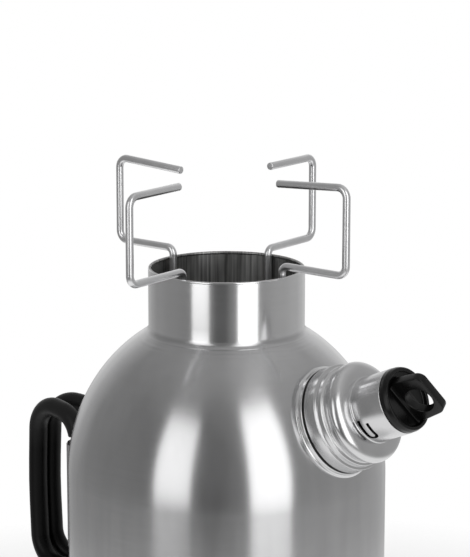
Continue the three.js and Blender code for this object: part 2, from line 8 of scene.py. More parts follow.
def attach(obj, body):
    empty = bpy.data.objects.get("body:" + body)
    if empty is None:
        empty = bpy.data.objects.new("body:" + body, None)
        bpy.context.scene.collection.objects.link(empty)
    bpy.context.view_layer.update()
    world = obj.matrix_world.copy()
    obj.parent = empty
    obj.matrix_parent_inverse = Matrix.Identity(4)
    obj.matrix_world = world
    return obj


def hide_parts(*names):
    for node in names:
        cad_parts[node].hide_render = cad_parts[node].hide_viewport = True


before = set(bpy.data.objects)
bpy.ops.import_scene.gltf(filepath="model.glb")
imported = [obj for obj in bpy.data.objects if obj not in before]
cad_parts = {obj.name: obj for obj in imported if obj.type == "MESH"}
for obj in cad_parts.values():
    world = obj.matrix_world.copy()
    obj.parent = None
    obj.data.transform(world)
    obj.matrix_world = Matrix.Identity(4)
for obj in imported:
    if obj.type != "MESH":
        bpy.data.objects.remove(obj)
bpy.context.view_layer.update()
print("frame loaded")

mm = 0.001  # every size below is in millimetres, unless its note says otherwise
mergeGap = 0.000002  # metres
straightTurn = 0.02  # radians; a corner flatter than this isn't rounded


# modelling tools

def clearSelection():
    bpy.ops.object.select_all(action="DESELECT")


def makeActive(piece):
    clearSelection()
    piece.select_set(True)
    bpy.context.view_layer.objects.active = piece


def nameActive(name):
    piece = bpy.context.object
    piece.name = name
    piece.data.name = name
    return piece


def applyPlace():
    bpy.ops.object.transform_apply(location=True, rotation=True, scale=True)


def smoothPiece(angle=32):
    bpy.ops.object.shade_smooth_by_angle(angle=math.radians(angle))


def arcPoints(centre, radius, fromAngle, toAngle, steps):
    points = []
    for i in range(steps + 1):
        angle = math.radians(fromAngle + (toAngle - fromAngle) * i / steps)
        points.append((centre[0] + radius * math.cos(angle), centre[1] + radius * math.sin(angle)))
    return points


def softOutline(corners, steps=4, closed=True):  # each corner is (radius, height, rounding)
    outline = []
    for i, (radius, height, rounding) in enumerate(corners):
        here = Vector((radius, height))
        before = Vector(corners[i - 1][:2])
        after = Vector(corners[(i + 1) % len(corners)][:2])
        arriving = (here - before).normalized()
        leaving = (after - here).normalized()
        turn = arriving.angle(leaving, 0)
        atEnd = not closed and i in (0, len(corners) - 1)
        if not rounding or atEnd or turn < straightTurn:
            outline.append((radius, height))
            continue
        trim = rounding * math.tan(turn / 2)
        start = here - arriving * trim
        inward = (leaving - arriving * arriving.dot(leaving)).normalized()
        centre = start + inward * rounding
        for k in range(steps + 1):
            angle = turn * k / steps
            point = (centre - inward * rounding * math.cos(angle)
                     + arriving * rounding * math.sin(angle))
            outline.append((point.x, point.y))
    return outline


def spinPiece(name, outline, steps=128, closed=True):  # draws an outline and spins it about Z
    clearSelection()
    bpy.ops.mesh.primitive_plane_add(size=mm)
    piece = nameActive(name)
    bpy.ops.object.mode_set(mode="EDIT")
    bpy.ops.mesh.select_mode(type="VERT")
    bpy.ops.mesh.select_all(action="SELECT")
    bpy.ops.mesh.merge(type="CENTER")
    route = list(outline) + ([outline[0]] if closed else [])
    bpy.ops.transform.translate(value=(route[0][0] * mm, 0, route[0][1] * mm))
    for start, end in zip(route, route[1:]):
        step = ((end[0] - start[0]) * mm, 0, (end[1] - start[1]) * mm)
        bpy.ops.mesh.extrude_region_move(TRANSFORM_OT_translate={"value": step})
    bpy.ops.mesh.select_all(action="SELECT")
    bpy.ops.mesh.remove_doubles(threshold=mergeGap)
    bpy.ops.mesh.spin(steps=steps, angle=2 * math.pi, center=(0, 0, 0), axis=(0, 0, 1))
    bpy.ops.mesh.select_all(action="SELECT")
    bpy.ops.mesh.remove_doubles(threshold=mergeGap)
    bpy.ops.mesh.dissolve_degenerate(threshold=mergeGap)
    bpy.ops.mesh.normals_make_consistent(inside=False)
    bpy.ops.object.mode_set(mode="OBJECT")
    smoothPiece()
    return piece


def pick(kind, test):  # selects the faces or edges that pass a test of their place or normal
    bpy.ops.mesh.select_mode(type=kind)
    bpy.ops.mesh.select_all(action="DESELECT")
    mesh = bpy.context.object.data
    shape = bmesh.from_edit_mesh(mesh)
    for part in shape.faces if kind == "FACE" else shape.edges:
        part.select_set(test(part))
    bmesh.update_edit_mesh(mesh)


def findBends(points, sizes):  # where each rounded corner of a route starts, ends and turns
    bends = []
    for i in range(1, len(points) - 1):
        arriving = (points[i] - points[i - 1]).normalized()
        leaving = (points[i + 1] - points[i]).normalized()
        turn = arriving.angle(leaving)
        trim = sizes[i] * math.tan(turn / 2)
        start = points[i] - arriving * trim
        inward = (leaving - arriving * arriving.dot(leaving)).normalized()
        bends.append({"turn": turn, "start": start, "end": points[i] + leaving * trim,
                      "centre": start + inward * sizes[i],
                      "axis": arriving.cross(leaving).normalized()})
    return bends


def bendPiece(name, corners, radius, sides, trimShare=0.0, endRound=0.3, stepAngle=7.5):
    # a ring is pushed along the straights and spun round the bends; corners are (point, bend)
    # a trim share starts and ends the piece part of the way round its first and last bend
    points = [Vector(point) * mm for point, bend in corners]
    bends = findBends(points, [bend * mm for point, bend in corners])
    here = points[0]
    direction = (points[1] - points[0]).normalized()
    if trimShare:
        first = bends[0]
        skipped = Matrix.Rotation(first["turn"] * trimShare, 3, first["axis"])
        here = first["centre"] + skipped @ (first["start"] - first["centre"])
        direction = skipped @ direction
    clearSelection()
    turned = Vector((0, 0, 1)).rotation_difference(direction).to_euler()
    bpy.ops.mesh.primitive_circle_add(vertices=sides, radius=radius * mm, fill_type="NOTHING",
                                      location=here, rotation=turned)
    piece = nameActive(name)
    applyPlace()
    bpy.ops.object.mode_set(mode="EDIT")
    bpy.ops.mesh.select_mode(type="VERT")
    bpy.ops.mesh.select_all(action="SELECT")
    for i, bend in enumerate(bends):
        turn = bend["turn"]
        if trimShare and i in (0, len(bends) - 1):
            turn *= 1 - trimShare
        if not (trimShare and i == 0):
            step = bend["start"] - here
            bpy.ops.mesh.extrude_region_move(TRANSFORM_OT_translate={"value": step})
        steps = max(2, round(math.degrees(turn) / stepAngle))
        bpy.ops.mesh.spin(steps=steps, angle=-turn, center=bend["centre"], axis=bend["axis"])
        here = bend["end"]
    if not trimShare:
        bpy.ops.mesh.extrude_region_move(TRANSFORM_OT_translate={"value": points[-1] - here})
    bpy.ops.mesh.select_all(action="DESELECT")
    bpy.ops.mesh.select_mode(type="EDGE")
    bpy.ops.mesh.select_non_manifold()
    bpy.ops.mesh.fill_holes(sides=0)
    bpy.ops.mesh.select_all(action="SELECT")
    bpy.ops.mesh.normals_make_consistent(inside=False)
    pick("FACE", lambda face: len(face.verts) == sides)
    bpy.ops.mesh.region_to_loop()
    bpy.ops.mesh.bevel(offset=endRound * mm, segments=3, affect="EDGES")
    bpy.ops.object.mode_set(mode="OBJECT")
    smoothPiece(40)
    return piece


def combine(piece, other, operation="DIFFERENCE"):
    makeActive(piece)
    change = piece.modifiers.new(operation.lower(), "BOOLEAN")
    change.operation = operation
    change.solver = "EXACT"
    change.object = other
    bpy.ops.object.modifier_apply(modifier=change.name)
    bpy.data.objects.remove(other)


def roundEdges(piece, width, segments=3, angle=50):
    makeActive(piece)
    edge = piece.modifiers.new("edges", "BEVEL")
    edge.width = width * mm
    edge.segments = segments
    edge.limit_method = "ANGLE"
    edge.angle_limit = math.radians(angle)
    edge.harden_normals = False
    bpy.ops.object.modifier_apply(modifier=edge.name)
    smoothPiece(angle)


def weldPoints(piece, gap=0.01):  # joined pieces leave points almost on top of each other
    makeActive(piece)
    bpy.ops.object.mode_set(mode="EDIT")
    bpy.ops.mesh.select_mode(type="VERT")
    bpy.ops.mesh.select_all(action="SELECT")
    bpy.ops.mesh.remove_doubles(threshold=gap * mm)
    bpy.ops.object.mode_set(mode="OBJECT")


def boxPiece(name, low, high):
    clearSelection()
    middle = [(a + b) / 2 * mm for a, b in zip(low, high)]
    bpy.ops.mesh.primitive_cube_add(size=1, location=middle)
    piece = nameActive(name)
    piece.scale = [(b - a) * mm for a, b in zip(low, high)]
    applyPlace()
    return piece


def barPiece(name, radius, length, middle, direction, sides=48):  # a round bar or cutter
    clearSelection()
    turned = Vector((0, 0, 1)).rotation_difference(Vector(direction)).to_euler()
    bpy.ops.mesh.primitive_cylinder_add(vertices=sides, radius=radius * mm, depth=length * mm,
                                        location=[value * mm for value in middle], rotation=turned)
    piece = nameActive(name)
    applyPlace()
    return piece


def sectorPiece(name, inner, outer, low, high, middleAngle, span, steps=16):
    # a thin flat bar, spun part of the way round Z
    thin = 0.05
    piece = boxPiece(name, (inner, -thin, low), (outer, thin, high))
    bpy.ops.object.mode_set(mode="EDIT")
    bpy.ops.mesh.select_all(action="SELECT")
    first = math.radians(middleAngle - span / 2)
    bpy.ops.transform.rotate(value=-first, orient_axis="Z", center_override=(0, 0, 0))
    across = Vector((-math.sin(first), math.cos(first), 0))
    pick("FACE", lambda face: face.normal.dot(across) > 0.9)
    bpy.ops.mesh.spin(steps=steps, angle=-math.radians(span), center=(0, 0, 0), axis=(0, 0, 1))
    bpy.ops.mesh.select_all(action="SELECT")
    bpy.ops.mesh.normals_make_consistent(inside=False)
    bpy.ops.object.mode_set(mode="OBJECT")
    return piece


# finishes
blends = {"patchColour": 0.4, "patchRough": 0.3, "sootPatches": 0.45, "rubberPatches": 0.6,
          "sootEdge": 0.1, "sootSpread": (0.36, 0.66), "quarterTurn": 0.25}


def newFinish(name, colour, metallic, roughness):
    finish = bpy.data.materials.new(name)
    finish.use_nodes = True
    shader = finish.node_tree.nodes["Principled BSDF"]
    shader.inputs["Base Color"].default_value = (*colour, 1)
    shader.inputs["Metallic"].default_value = metallic
    shader.inputs["Roughness"].default_value = roughness
    return finish, finish.node_tree, shader


def grain(tree, size, detail=4, place=(0, 0, 0), turn=(0, 0, 0)):
    # noise whose spots have this size in millimetres along the piece's own X, Y and Z
    coords = tree.nodes.new("ShaderNodeTexCoord")
    mapping = tree.nodes.new("ShaderNodeMapping")
    mapping.vector_type = "TEXTURE"
    mapping.inputs["Location"].default_value = place
    mapping.inputs["Rotation"].default_value = turn
    mapping.inputs["Scale"].default_value = [value * mm for value in size]
    noise = tree.nodes.new("ShaderNodeTexNoise")
    noise.inputs["Scale"].default_value = 1
    noise.inputs["Detail"].default_value = detail
    tree.links.new(coords.outputs["Object"], mapping.inputs["Vector"])
    tree.links.new(mapping.outputs["Vector"], noise.inputs["Vector"])
    return noise.outputs["Fac"]


def remap(tree, value, low, high, fromLow=0.3, fromHigh=0.7):
    change = tree.nodes.new("ShaderNodeMapRange")
    change.inputs["From Min"].default_value = fromLow
    change.inputs["From Max"].default_value = fromHigh
    change.inputs["To Min"].default_value = low
    change.inputs["To Max"].default_value = high
    tree.links.new(value, change.inputs["Value"])
    return change.outputs["Result"]


def blendValues(tree, first, second, share):
    mix = tree.nodes.new("ShaderNodeMix")
    mix.data_type = "FLOAT"
    mix.inputs["Factor"].default_value = share
    tree.links.new(first, mix.inputs["A"])
    tree.links.new(second, mix.inputs["B"])
    return mix.outputs["Result"]


def tint(tree, value, dark, light, fromLow=0.3, fromHigh=0.7):
    ramp = tree.nodes.new("ShaderNodeValToRGB")
    ramp.color_ramp.elements[0].position = fromLow
    ramp.color_ramp.elements[1].position = fromHigh
    ramp.color_ramp.elements[0].color = (*dark, 1)
    ramp.color_ramp.elements[1].color = (*light, 1)
    tree.links.new(value, ramp.inputs["Fac"])
    return ramp.outputs["Color"]


def relief(tree, shader, value, strength, depth):
    bump = tree.nodes.new("ShaderNodeBump")
    bump.inputs["Strength"].default_value = strength
    bump.inputs["Distance"].default_value = depth * mm
    tree.links.new(value, bump.inputs["Height"])
    tree.links.new(bump.outputs["Normal"], shader.inputs["Normal"])


def mathNode(tree, first, second, operation="MULTIPLY"):  # takes numbers or sockets
    node = tree.nodes.new("ShaderNodeMath")
    node.operation = operation
    for value, socket in zip((first, second), node.inputs):
        if isinstance(value, (int, float)):
            socket.default_value = value
        else:
            tree.links.new(value, socket)
    return node.outputs["Value"]


def mixInto(tree, socket, factor, value):  # lays a second value over what already feeds a socket
    mix = tree.nodes.new("ShaderNodeMix")
    mix.data_type = "RGBA" if socket.type == "RGBA" else "FLOAT"
    sockets = [end for end in mix.inputs if end.enabled]
    tree.links.new(factor, sockets[0])
    tree.links.new(socket.links[0].from_socket, sockets[1])
    if isinstance(value, bpy.types.NodeSocket):
        tree.links.new(value, sockets[2])
    else:
        sockets[2].default_value = (*value, 1) if mix.data_type == "RGBA" else value
    tree.links.new([end for end in mix.outputs if end.enabled][0], socket)


def heightFade(tree, start, end):  # 0 at the first height and 1 at the second
    coords = tree.nodes.new("ShaderNodeTexCoord")
    split = tree.nodes.new("ShaderNodeSeparateXYZ")
    tree.links.new(coords.outputs["Object"], split.inputs["Vector"])
    if start < end:
        return remap(tree, split.outputs["Z"], 0, 1, start * mm, end * mm)
    return remap(tree, split.outputs["Z"], 1, 0, end * mm, start * mm)


def steelFinish(name, look, place=(0, 0, 0), turn=(0, 0, 0)):
    finish, tree, shader = newFinish(name, look["light"], 1, look["rough"][0])
    fine = grain(tree, look["fine"], 3, place, turn)
    coarse = grain(tree, look["coarse"], 3, place, turn)
    patches = grain(tree, look["patches"], 2, place, turn)
    lines = blendValues(tree, fine, coarse, look["coarseShare"])
    shade = blendValues(tree, lines, patches, blends["patchColour"])
    gloss = blendValues(tree, lines, patches, blends["patchRough"])
    tree.links.new(tint(tree, shade, look["dark"], look["light"]), shader.inputs["Base Color"])
    tree.links.new(remap(tree, gloss, *look["rough"]), shader.inputs["Roughness"])
    relief(tree, shader, lines, look["relief"], look["depth"])
    if look.get("stretch"):  # brushing round the piece draws its highlights out
        shader.inputs["Anisotropic"].default_value = look["stretch"]
        shader.inputs["Anisotropic Rotation"].default_value = blends["quarterTurn"]
        tangent = tree.nodes.new("ShaderNodeTangent")
        tangent.direction_type = "RADIAL"
        tangent.axis = "Z"
        tree.links.new(tangent.outputs["Tangent"], shader.inputs["Tangent"])
    return finish


def sootInside(finish, soot):  # a heat-dulled inner wall with streaks running down it
    tree = finish.node_tree
    shader = tree.nodes["Principled BSDF"]
    coords = tree.nodes.new("ShaderNodeTexCoord")
    flat = tree.nodes.new("ShaderNodeVectorMath")
    flat.operation = "MULTIPLY"
    flat.inputs[1].default_value = (1, 1, 0)
    tree.links.new(coords.outputs["Object"], flat.inputs[0])
    distance = tree.nodes.new("ShaderNodeVectorMath")
    distance.operation = "LENGTH"
    tree.links.new(flat.outputs["Vector"], distance.inputs[0])
    inside = remap(tree, distance.outputs["Value"], 1, 0,
                   (soot["radius"] - blends["sootEdge"]) * mm,
                   (soot["radius"] + blends["sootEdge"]) * mm)
    streaks = blendValues(tree, grain(tree, soot["streaks"], 4), grain(tree, soot["patches"], 3),
                          blends["sootPatches"])
    mixInto(tree, shader.inputs["Base Color"], inside,
            tint(tree, streaks, soot["dark"], soot["light"], *blends["sootSpread"]))
    mixInto(tree, shader.inputs["Roughness"], inside, remap(tree, streaks, *soot["rough"]))
    return finish


def brushedFoot(finish, foot):  # the polish ends where the wall flares out to the dome
    tree = finish.node_tree
    shader = tree.nodes["Principled BSDF"]
    low = heightFade(tree, foot["to"], foot["from"])
    mixInto(tree, shader.inputs["Base Color"], low, foot["colour"])
    mixInto(tree, shader.inputs["Roughness"], low, foot["rough"])
    return finish


def rubberFinish(name, look):
    finish, tree, shader = newFinish(name, look["light"], 0, look["rough"][0])
    fine = grain(tree, look["fine"], 4)
    patches = grain(tree, look["patches"], 3)
    tree.links.new(tint(tree, patches, look["dark"], look["light"]), shader.inputs["Base Color"])
    if look.get("paintedSheen"):  # painted sheen: the rubber's colour turns grey over its upper bend, standing in for light from above
        sheenMask = heightFade(tree, look["paintedSheenFrom"], look["paintedSheenTo"])
        mixInto(tree, shader.inputs["Base Color"], sheenMask, look["paintedSheen"])
    gloss = blendValues(tree, fine, patches, blends["rubberPatches"])
    tree.links.new(remap(tree, gloss, *look["rough"]), shader.inputs["Roughness"])
    relief(tree, shader, fine, look["relief"], look["depth"])
    shader.inputs["IOR"].default_value = look["ior"]
    return finish


def takePlace(piece, body, nodes, finish):
    piece.data.materials.clear()
    piece.data.materials.append(finish)
    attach(piece, body)
    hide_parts(*nodes)


# camera, at the photograph's viewing angle; the focal length is in the photograph's pixels
view = {"azimuth": 40, "tilt": 12, "distance": 1300, "rise": 270, "target": 315,
        "focalPixels": 2381, "frameLong": 557, "sensor": 36, "axisOffset": 8.4}
clearSelection()
side = math.radians(view["azimuth"])
bpy.ops.object.camera_add(
    location=(view["distance"] * math.sin(side) * mm, -view["distance"] * math.cos(side) * mm,
              (view["target"] + view["rise"]) * mm),
    rotation=(math.radians(90 - view["tilt"]), 0, side))
camera = bpy.context.object
camera.name = "camera"
camera.data.sensor_width = view["sensor"]
camera.data.lens = view["focalPixels"] / view["frameLong"] * view["sensor"]
camera.data.shift_x = view["axisOffset"] / view["frameLong"]
bpy.context.scene.camera = camera
print("camera placed")

# water jacket; faint rings are pressed into its dome round the neck
jacket = {"radius": 90, "wall": 1, "bottom": 71.8, "domeBase": 197.8, "domeRise": 94.2,
          "neckEdge": 44.1, "steps": 192, "domeSteps": 44, "wallSteps": 6, "crowding": 1.5,
          "ringRadii": (48.2, 50.6), "ringDepth": 0.07, "ringWidth": 0.5}


def domeLine(radius, rise, edge, steps, rings=()):  # with rings, its points crowd at the top
    last = math.acos(edge / radius)
    line = []
    for i in range(steps + 1):
        share = i / steps
        angle = last * (share if not rings else 1 - (1 - share) ** jacket["crowding"])
        across = radius * math.cos(angle)
        dip = sum(jacket["ringDepth"] * math.exp(-((across - ring) / jacket["ringWidth"]) ** 2)
                  for ring in rings)
        height = jacket["domeBase"] + rise * math.sin(angle) - dip * math.sin(angle)
        line.append((across - dip * math.cos(angle), height))
    return line


wallHeight = jacket["domeBase"] - jacket["bottom"]
wallLine = [(jacket["radius"], jacket["bottom"] + wallHeight * i / jacket["wallSteps"])
            for i in range(jacket["wallSteps"])]
outerLine = wallLine + domeLine(jacket["radius"], jacket["domeRise"], jacket["neckEdge"],
                                2 * jacket["domeSteps"], jacket["ringRadii"])
innerRadius = jacket["radius"] - jacket["wall"]
innerLine = domeLine(innerRadius, jacket["domeRise"] - jacket["wall"], jacket["neckEdge"],
                     jacket["domeSteps"] // 2)
shellOutline = outerLine + innerLine[::-1] + [(innerRadius, jacket["bottom"])]
shell = spinPiece("bodyShell", shellOutline, steps=jacket["steps"])

spout = {"rise": 205.3, "tilt": 23.9, "bore": 25, "cutAt": 87, "cutLength": 90}
tilt = math.radians(spout["tilt"])
spoutTurn = math.radians(90 - spout["tilt"])
spoutAxis = Vector((math.cos(tilt), 0, math.sin(tilt)))


def placeOnSpout(piece):  # pieces of the spout are modelled upright, then laid on its axis
    makeActive(piece)
    piece.rotation_euler = (0, spoutTurn, 0)
    piece.location = (0, 0, spout["rise"] * mm)
    applyPlace()
    return piece


spoutMiddle = Vector((0, 0, spout["rise"])) + spoutAxis * spout["cutAt"]
combine(shell, barPiece("boreCutter", spout["bore"], spout["cutLength"], spoutMiddle,
                        spoutAxis, 96))
smoothPiece()
print("water jacket done")

# neck with its rolled rim, on a fillet and a narrow weld
neck = {"radius": 43.8, "wall": 0.9, "bottom": 272.1, "rim": 314.8, "steps": 160, "wallSteps": 5,
        "bead": 0.9, "beadCentre": 42.95, "beadFrom": -19, "beadTo": 266, "rimLines": (0.9, 0.5),
        "fillet": 4.4, "filletSteps": 14, "weld": 0.14, "weldWidth": 0.3, "weldRound": 0.08,
        "sunk": 4, "innerLine": 4}
neckShare = neck["radius"] / jacket["radius"]
cosine = math.sqrt(1 - neckShare ** 2)
jointHeight = jacket["domeBase"] + jacket["domeRise"] * cosine
slope = math.degrees(math.atan(jacket["domeRise"] / jacket["radius"] * neckShare / cosine))
filletTrim = neck["fillet"] * math.tan(math.radians(45 - slope / 2))
filletStart = jointHeight + neck["weld"] + filletTrim
filletCentre = (neck["radius"] + neck["fillet"], filletStart)
fillet = arcPoints(filletCentre, neck["fillet"], 270 - slope, 180, neck["filletSteps"])
weldEdge = fillet[0][0] + neck["weldWidth"]
weldTop = fillet[0][1] - neck["weldWidth"] * math.tan(math.radians(slope))
weldLow = jointHeight - neck["sunk"]
neckOutline = [(neck["radius"], neck["bottom"]), (neck["radius"], weldLow)]
neckOutline += softOutline([(weldEdge, weldLow, 0), (weldEdge, weldTop, neck["weldRound"]),
                            (*fillet[0], 0)], 5, closed=False)
neckOutline += fillet[1:]
for i in range(1, neck["wallSteps"]):
    rise = (neck["rim"] - filletStart) * i / neck["wallSteps"]
    neckOutline.append((neck["radius"], filletStart + rise))
neckOutline += [(neck["radius"], neck["rim"] - drop) for drop in neck["rimLines"]]
neckOutline += arcPoints((neck["beadCentre"], neck["rim"]), neck["bead"],
                         neck["beadFrom"], neck["beadTo"], 20)
neckInner = neck["radius"] - neck["wall"]
neckOutline += [(neckInner, neck["rim"] - neck["innerLine"]), (neckInner, neck["bottom"])]
chimneyNeck = spinPiece("chimneyNeck", neckOutline, steps=neck["steps"])

# fire tube and base ring
tube = {"foot": 72, "top": 43.8, "wall": 0.9, "bottom": 71.8, "end": 271.8}
tubeOutline = [(tube["foot"], tube["bottom"]), (tube["top"], tube["end"]),
               (tube["top"] - tube["wall"], tube["end"]),
               (tube["foot"] - tube["wall"], tube["bottom"])]
fireTube = spinPiece("fireTube", tubeOutline)

ring = {"inner": 70.5, "outer": 90, "foot": 70.3, "plate": 1.2, "skirtWall": 1.2,
        "skirtDepth": 5, "skirtRound": 0.55, "topRound": 0.5, "innerRound": 0.4,
        "cornerRound": 0.3, "steps": 192}
ringTop = ring["foot"] + ring["plate"]
skirtInner = ring["outer"] - ring["skirtWall"]
skirtLow = ring["foot"] - ring["skirtDepth"]
ringOutline = softOutline([
    (ring["inner"], ring["foot"], ring["innerRound"]),
    (skirtInner, ring["foot"], ring["cornerRound"]),
    (skirtInner, skirtLow, ring["skirtRound"]),
    (ring["outer"], skirtLow, ring["skirtRound"]),
    (ring["outer"], ringTop, ring["topRound"]),
    (ring["inner"], ringTop, ring["innerRound"])])
baseRing = spinPiece("baseRing", ringOutline, steps=ring["steps"])

# fire bowl: a raised floor, a flared wall with a rolled rim, and air holes
bowl = {"height": 70, "foot": 62, "corner": 12, "top": 84.6, "wall": 1, "bead": 1.9,
        "floorLine": ((0, 1.2), (48, 1.2), (52, 0.3)), "stand": 56, "steps": 160,
        "hole": 16, "holeHeight": 35, "holeReach": 80, "holes": 4}
flare = math.degrees(math.atan2(bowl["top"] - bowl["foot"], bowl["height"] - bowl["corner"]))
beadMiddle = (bowl["top"] + bowl["bead"], bowl["height"] - bowl["bead"])
cornerMiddle = (bowl["foot"], bowl["corner"])
bowlOutline = [*bowl["floorLine"], (bowl["stand"], 0)]
bowlOutline += arcPoints(cornerMiddle, bowl["corner"], -90, -flare, 10)
bowlOutline += arcPoints(beadMiddle, bowl["bead"], -90, 180, 16)
bowlOutline += arcPoints(cornerMiddle, bowl["corner"] - bowl["wall"], -flare, -90, 8)
bowlOutline += [(radius, height + bowl["wall"]) for radius, height in bowl["floorLine"][::-1]]
fireBowl = spinPiece("fireBowl", bowlOutline, steps=bowl["steps"], closed=False)
for i in range(bowl["holes"]):
    angle = 2 * math.pi * i / bowl["holes"]
    outward = (math.cos(angle), math.sin(angle), 0)
    middle = (outward[0] * bowl["holeReach"], outward[1] * bowl["holeReach"], bowl["holeHeight"])
    combine(fireBowl, barPiece("holeCutter", bowl["hole"], 60, middle, outward, 64))
weldPoints(fireBowl)
smoothPiece()
print("neck, tube, ring and bowl done")

# spout: the collar on the dome, with two tabs inside for the head's lock
lockAngles = (90, 270)
collar = {"foot": 31.2, "top": 29.9, "bore": 25, "end": 87.4, "root": 67.4, "topRound": 0.4,
          "boreRound": 0.3, "shoulder": ((31.2, 84.6, 0.9), (30.5, 85.2, 0.35), (30.1, 85.6, 0.3)),
          "tabReach": 1.8, "tabRoot": 2, "tabHeight": 1.2, "tabDrop": 0.3, "tabSpan": 50,
          "saddleGap": 0.05, "saddleLow": 100, "saddleEdge": 20, "saddleSteps": 40}
collarOutline = softOutline([
    (collar["bore"], collar["root"], 0), (collar["foot"], collar["root"], 0),
    *collar["shoulder"], (collar["top"], collar["end"], collar["topRound"]),
    (collar["bore"], collar["end"], collar["boreRound"])])
spoutCollar = spinPiece("spoutCollar", collarOutline, steps=144)
for angle in lockAngles:
    tab = sectorPiece("lockTab", collar["bore"] - collar["tabReach"],
                      collar["bore"] + collar["tabRoot"],
                      collar["end"] - collar["tabHeight"] - collar["tabDrop"],
                      collar["end"] - collar["tabDrop"], angle, collar["tabSpan"])
    combine(spoutCollar, tab, "UNION")
placeOnSpout(spoutCollar)
saddleRadius = jacket["radius"] + collar["saddleGap"]
saddleOutline = [(0, collar["saddleLow"]), (saddleRadius, collar["saddleLow"])]
saddleOutline += domeLine(saddleRadius, jacket["domeRise"] + collar["saddleGap"],
                          collar["saddleEdge"], collar["saddleSteps"])
saddleOutline += [(0, saddleOutline[-1][1])]
combine(spoutCollar, spinPiece("saddleCutter", saddleOutline, steps=jacket["steps"], closed=False))
weldPoints(spoutCollar)
smoothPiece()

gasket = {"inner": 23.3, "outer": 29.35, "low": 87.7, "high": 88.5, "round": 0.25,
          "innerRound": 0.2}
gasketOutline = softOutline([
    (gasket["inner"], gasket["low"], gasket["innerRound"]),
    (gasket["outer"], gasket["low"], gasket["round"]),
    (gasket["outer"], gasket["high"], gasket["round"]),
    (gasket["inner"], gasket["high"], gasket["innerRound"])])
spoutGasket = placeOnSpout(spinPiece("spoutGasket", gasketOutline))

# pouring head: band, step, groove, bulge and tube outside, then the same forms inside
head = {"low": 88.8, "band": 29.4, "bandTop": 96.1, "step": 27.8, "stepTop": 99.6,
        "groove": 26.2, "grooveTop": 103.2, "bulge": 28, "bulgeRoot": 18.9,
        "bulgeMiddle": 106.55, "bulgeHalf": 5.65, "bulgeFrom": 54, "root": 112.2,
        "rootRound": 1.2, "tube": 18, "mouth": 132.4, "wall": 1, "spigot": 22.9,
        "spigotLength": 5.8, "lugRoot": 0.5, "lugOuter": 24.7, "lugTop": 85.9,
        "lugHeight": 1.3, "lugSpan": 40, "steps": 160}


def bulgeLine(steps):
    line = []
    for i in range(steps + 1):
        angle = math.radians(head["bulgeFrom"] + (180 - head["bulgeFrom"]) * i / steps)
        across = head["bulgeRoot"] + (head["bulge"] - head["bulgeRoot"]) * math.sin(angle)
        line.append((across, head["bulgeMiddle"] - head["bulgeHalf"] * math.cos(angle)))
    return line


spigotLow = head["low"] - head["spigotLength"]
spigotInner = head["spigot"] - head["wall"]
bandInner = head["band"] - head["wall"]
stepInner = head["step"] - head["wall"]
grooveInner = head["groove"] - head["wall"]
tubeInner = head["tube"] - head["wall"]
floorTop = head["low"] + head["wall"]
headOutline = softOutline([
    (spigotInner, spigotLow, 0.3),
    (head["spigot"], spigotLow, 0.3),
    (head["spigot"], head["low"], 0.2),
    (head["band"], head["low"], 0.3),
    (head["band"], head["bandTop"], 0.3),
    (head["step"], head["bandTop"] + 0.3, 0.25),
    (head["step"], head["stepTop"], 0.4),
    (head["groove"], head["stepTop"] + 0.7, 0.7),
    (head["groove"], head["grooveTop"] - 0.4, 1.2)], steps=5, closed=False)
headOutline += bulgeLine(24)[1:-1]
headOutline += arcPoints((head["tube"] + head["rootRound"], head["root"] + 1), head["rootRound"],
                         235, 180, 5)
headOutline += softOutline([
    (head["tube"], head["root"] + 3, 0),
    (head["tube"], head["mouth"], 0.35),
    (tubeInner, head["mouth"], 0.35),
    (tubeInner, head["root"], 0.5),
    (grooveInner, head["grooveTop"], 0)], closed=False)
headOutline += softOutline([
    (grooveInner, head["stepTop"] + 0.5, 0),
    (stepInner, head["stepTop"] - 0.8, 0.4),
    (stepInner, head["bandTop"], 0.3),
    (bandInner, head["bandTop"] - 0.8, 0.4),
    (bandInner, floorTop, 0.4),
    (spigotInner, floorTop, 0)], closed=False)
spoutHead = spinPiece("spoutHead", headOutline, steps=head["steps"])
for angle in lockAngles:
    lug = sectorPiece("lockLug", head["spigot"] - head["lugRoot"], head["lugOuter"],
                      head["lugTop"] - head["lugHeight"], head["lugTop"], angle, head["lugSpan"])
    combine(spoutHead, lug, "UNION")

# the slit round each spring tongue: back along the tube, round the tip and forward again
tongue = {"angle": -45.5, "offset": 4.45, "half": 2.35, "slit": 1.9, "longLeg": 34.4,
          "shortLeg": 26.1, "depth": 5, "count": 2}


def slitCutter(turn):
    clearSelection()
    begin = math.radians(turn - tongue["longLeg"])
    height = head["root"] + tongue["offset"] - tongue["half"]
    bpy.ops.mesh.primitive_plane_add(
        size=1, rotation=(math.pi / 2, 0, begin),
        location=(head["tube"] * math.cos(begin) * mm, head["tube"] * math.sin(begin) * mm,
                  height * mm))
    piece = nameActive("slitCutter")
    piece.scale = (tongue["depth"] * mm, tongue["slit"] * mm, mm)
    applyPlace()
    bpy.ops.object.mode_set(mode="EDIT")
    bpy.ops.mesh.select_mode(type="FACE")
    bpy.ops.mesh.select_all(action="SELECT")
    bpy.ops.mesh.spin(steps=8, angle=-math.radians(tongue["longLeg"]), center=(0, 0, 0),
                      axis=(0, 0, 1))
    tip = math.radians(turn)
    outward = Vector((math.cos(tip), math.sin(tip), 0))
    centre = outward * head["tube"] * mm + Vector((0, 0, (height + tongue["half"]) * mm))
    bpy.ops.mesh.spin(steps=10, angle=-math.pi, center=centre, axis=outward)
    bpy.ops.mesh.spin(steps=8, angle=math.radians(tongue["shortLeg"]), center=(0, 0, 0),
                      axis=(0, 0, 1))
    bpy.ops.mesh.select_all(action="SELECT")
    bpy.ops.mesh.normals_make_consistent(inside=False)
    bpy.ops.object.mode_set(mode="OBJECT")
    return piece


